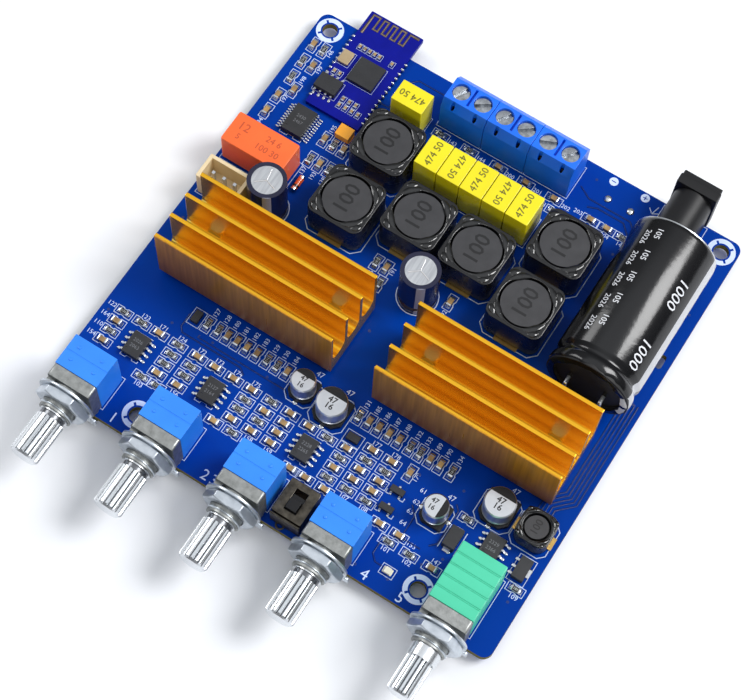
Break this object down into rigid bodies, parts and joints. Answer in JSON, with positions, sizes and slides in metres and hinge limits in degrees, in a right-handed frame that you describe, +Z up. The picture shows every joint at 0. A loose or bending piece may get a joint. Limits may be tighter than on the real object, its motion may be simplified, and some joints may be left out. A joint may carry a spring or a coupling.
{
  "type": "audio amplifier board",
  "caption": "Square blue audio amplifier board with gold finned heatsinks, rotary tone and volume controls, screw terminals, a power jack and a plug-on radio module.",
  "frame": {"origin": "under the middle of the whole box, on the surface that the pin tails stand on", "axes": "+Z up from the board, +Y to the edge with the power jack, +X to the right along the front"},
  "size_m": [0.1, 0.1204, 0.0214],
  "materials": {
    "board": "solder mask",
    "gold_anodised": "anodised, satin",
    "zinc_steel": "zinc plated",
    "chip_black": "moulded epoxy",
    "black_sleeve": "shrunk film",
    "navy_sleeve": "shrunk film",
    "can": "drawn aluminium",
    "black_plastic": "moulded",
    "ferrite": "sintered ferrite",
    "brass": "plated",
    "film_yellow": "moulded",
    "relay_orange": "moulded",
    "terminal_blue": "moulded",
    "header_cream": "moulded",
    "radio_indigo": "solder mask",
    "tinned": "tinned",
    "resistor": "glazed",
    "ceramic": "fired ceramic",
    "tantalum": "moulded",
    "orange_glass": "glass",
    "led_white": "moulded",
    "tone_blue": "moulded",
    "volume_green": "moulded",
    "shaft_silver": "turned",
    "switch_steel": "dulled steel",
    "switch_brown": "phenolic"
  },
  "bodies": {
    "board": {"circuit_board": "board", "heatsink_left": "gold_anodised", "heatsink_right": "gold_anodised", "heatsink_screws": "zinc_steel", "control_washers": "zinc_steel", "control_nuts": "zinc_steel", "control_brackets": "zinc_steel", "amplifier_chips": "chip_black", "radio_chips": "chip_black", "control_chips": "chip_black", "small_semiconductors": "chip_black", "bulk_capacitor_sleeve": "black_sleeve", "filter_capacitor_sleeves": "navy_sleeve", "bulk_capacitor_can": "can", "filter_capacitor_cans": "can", "smd_capacitor_cans": "can", "smd_capacitor_bases": "black_plastic", "dc_jack_body": "black_plastic", "inductor_shields": "ferrite", "inductor_cores": "ferrite", "inductor_terminals": "brass", "terminal_contacts": "brass", "dc_jack_contacts": "brass", "film_capacitors": "film_yellow", "signal_relay": "relay_orange", "terminal_blocks": "terminal_blue", "input_header_housing": "header_cream", "radio_board": "radio_indigo", "dc_jack_pin": "tinned", "input_header_pins": "tinned", "chip_leads": "tinned", "solder_joints": "tinned", "radio_crystal": "tinned", "chip_resistors": "resistor", "chip_capacitors": "ceramic", "tantalum_capacitor": "tantalum", "glass_diode": "orange_glass", "status_led": "led_white", "tone_control_bodies": "tone_blue", "volume_control_body": "volume_green", "switch_shell": "switch_steel", "switch_base": "switch_brown"},
    "tone_shaft_1": {"tone_shaft_1": "shaft_silver"},
    "tone_shaft_2": {"tone_shaft_2": "shaft_silver"},
    "tone_shaft_3": {"tone_shaft_3": "shaft_silver"},
    "tone_shaft_4": {"tone_shaft_4": "shaft_silver"},
    "volume_shaft": {"volume_shaft": "shaft_silver"},
    "switch_slider": {"switch_slider": "black_plastic"},
    "terminal_screw_1": {"terminal_screw_1": "zinc_steel"},
    "terminal_screw_2": {"terminal_screw_2": "zinc_steel"},
    "terminal_screw_3": {"terminal_screw_3": "zinc_steel"},
    "terminal_screw_4": {"terminal_screw_4": "zinc_steel"},
    "terminal_screw_5": {"terminal_screw_5": "zinc_steel"},
    "terminal_screw_6": {"terminal_screw_6": "zinc_steel"},
    "terminal_clamp_1": {"terminal_clamp_1": "zinc_steel"},
    "terminal_clamp_2": {"terminal_clamp_2": "zinc_steel"},
    "terminal_clamp_3": {"terminal_clamp_3": "zinc_steel"},
    "terminal_clamp_4": {"terminal_clamp_4": "zinc_steel"},
    "terminal_clamp_5": {"terminal_clamp_5": "zinc_steel"},
    "terminal_clamp_6": {"terminal_clamp_6": "zinc_steel"}
  },
  "joints": [
    {"name": "tone_turn_1", "type": "hinge", "parent": "board", "child": "tone_shaft_1", "pos_m": [-0.0423, -0.0452, 0.0096], "axis": [0, -1, 0], "range_deg": [-150, 150]},
    {"name": "tone_turn_2", "type": "hinge", "parent": "board", "child": "tone_shaft_2", "pos_m": [-0.0234, -0.0452, 0.0096], "axis": [0, -1, 0], "range_deg": [-150, 150]},
    {"name": "tone_turn_3", "type": "hinge", "parent": "board", "child": "tone_shaft_3", "pos_m": [-0.0045, -0.0452, 0.0096], "axis": [0, -1, 0], "range_deg": [-150, 150]},
    {"name": "tone_turn_4", "type": "hinge", "parent": "board", "child": "tone_shaft_4", "pos_m": [0.0144, -0.0452, 0.0096], "axis": [0, -1, 0], "range_deg": [-150, 150]},
    {"name": "volume_turn", "type": "hinge", "parent": "board", "child": "volume_shaft", "pos_m": [0.04, -0.0452, 0.0096], "axis": [0, -1, 0], "range_deg": [-150, 150]},
    {"name": "switch_slide", "type": "slide", "parent": "board", "child": "switch_slider", "axis": [0, 1, 0], "range_m": [0, 0.002]},
    {"name": "terminal_turn_1", "type": "hinge", "parent": "board", "child": "terminal_screw_1", "pos_m": [-0.0136, 0.0491, 0.0114], "axis": [0, 0, -1], "range_deg": [0, 1440]},
    {"name": "terminal_lift_1", "type": "slide", "parent": "board", "child": "terminal_clamp_1", "axis": [0, 0, 1], "range_m": [0, 0.002]},
    {"name": "terminal_turn_2", "type": "hinge", "parent": "board", "child": "terminal_screw_2", "pos_m": [-0.00852, 0.0491, 0.0114], "axis": [0, 0, -1], "range_deg": [0, 1440]},
    {"name": "terminal_lift_2", "type": "slide", "parent": "board", "child": "terminal_clamp_2", "axis": [0, 0, 1], "range_m": [0, 0.002]},
    {"name": "terminal_turn_3", "type": "hinge", "parent": "board", "child": "terminal_screw_3", "pos_m": [-0.00344, 0.0491, 0.0114], "axis": [0, 0, -1], "range_deg": [0, 1440]},
    {"name": "terminal_lift_3", "type": "slide", "parent": "board", "child": "terminal_clamp_3", "axis": [0, 0, 1], "range_m": [0, 0.002]},
    {"name": "terminal_turn_4", "type": "hinge", "parent": "board", "child": "terminal_screw_4", "pos_m": [0.00164, 0.0491, 0.0114], "axis": [0, 0, -1], "range_deg": [0, 1440]},
    {"name": "terminal_lift_4", "type": "slide", "parent": "board", "child": "terminal_clamp_4", "axis": [0, 0, 1], "range_m": [0, 0.002]},
    {"name": "terminal_turn_5", "type": "hinge", "parent": "board", "child": "terminal_screw_5", "pos_m": [0.00672, 0.0491, 0.0114], "axis": [0, 0, -1], "range_deg": [0, 1440]},
    {"name": "terminal_lift_5", "type": "slide", "parent": "board", "child": "terminal_clamp_5", "axis": [0, 0, 1], "range_m": [0, 0.002]},
    {"name": "terminal_turn_6", "type": "hinge", "parent": "board", "child": "terminal_screw_6", "pos_m": [0.0118, 0.0491, 0.0114], "axis": [0, 0, -1], "range_deg": [0, 1440]},
    {"name": "terminal_lift_6", "type": "slide", "parent": "board", "child": "terminal_clamp_6", "axis": [0, 0, 1], "range_m": [0, 0.002]}
  ],
  "couplings": [
    {"joint": "terminal_turn_1", "follows": "terminal_lift_1", "rad_per_m": 12566},
    {"joint": "terminal_turn_2", "follows": "terminal_lift_2", "rad_per_m": 12566},
    {"joint": "terminal_turn_3", "follows": "terminal_lift_3", "rad_per_m": 12566},
    {"joint": "terminal_turn_4", "follows": "terminal_lift_4", "rad_per_m": 12566},
    {"joint": "terminal_turn_5", "follows": "terminal_lift_5", "rad_per_m": 12566},
    {"joint": "terminal_turn_6", "follows": "terminal_lift_6", "rad_per_m": 12566}
  ]
}
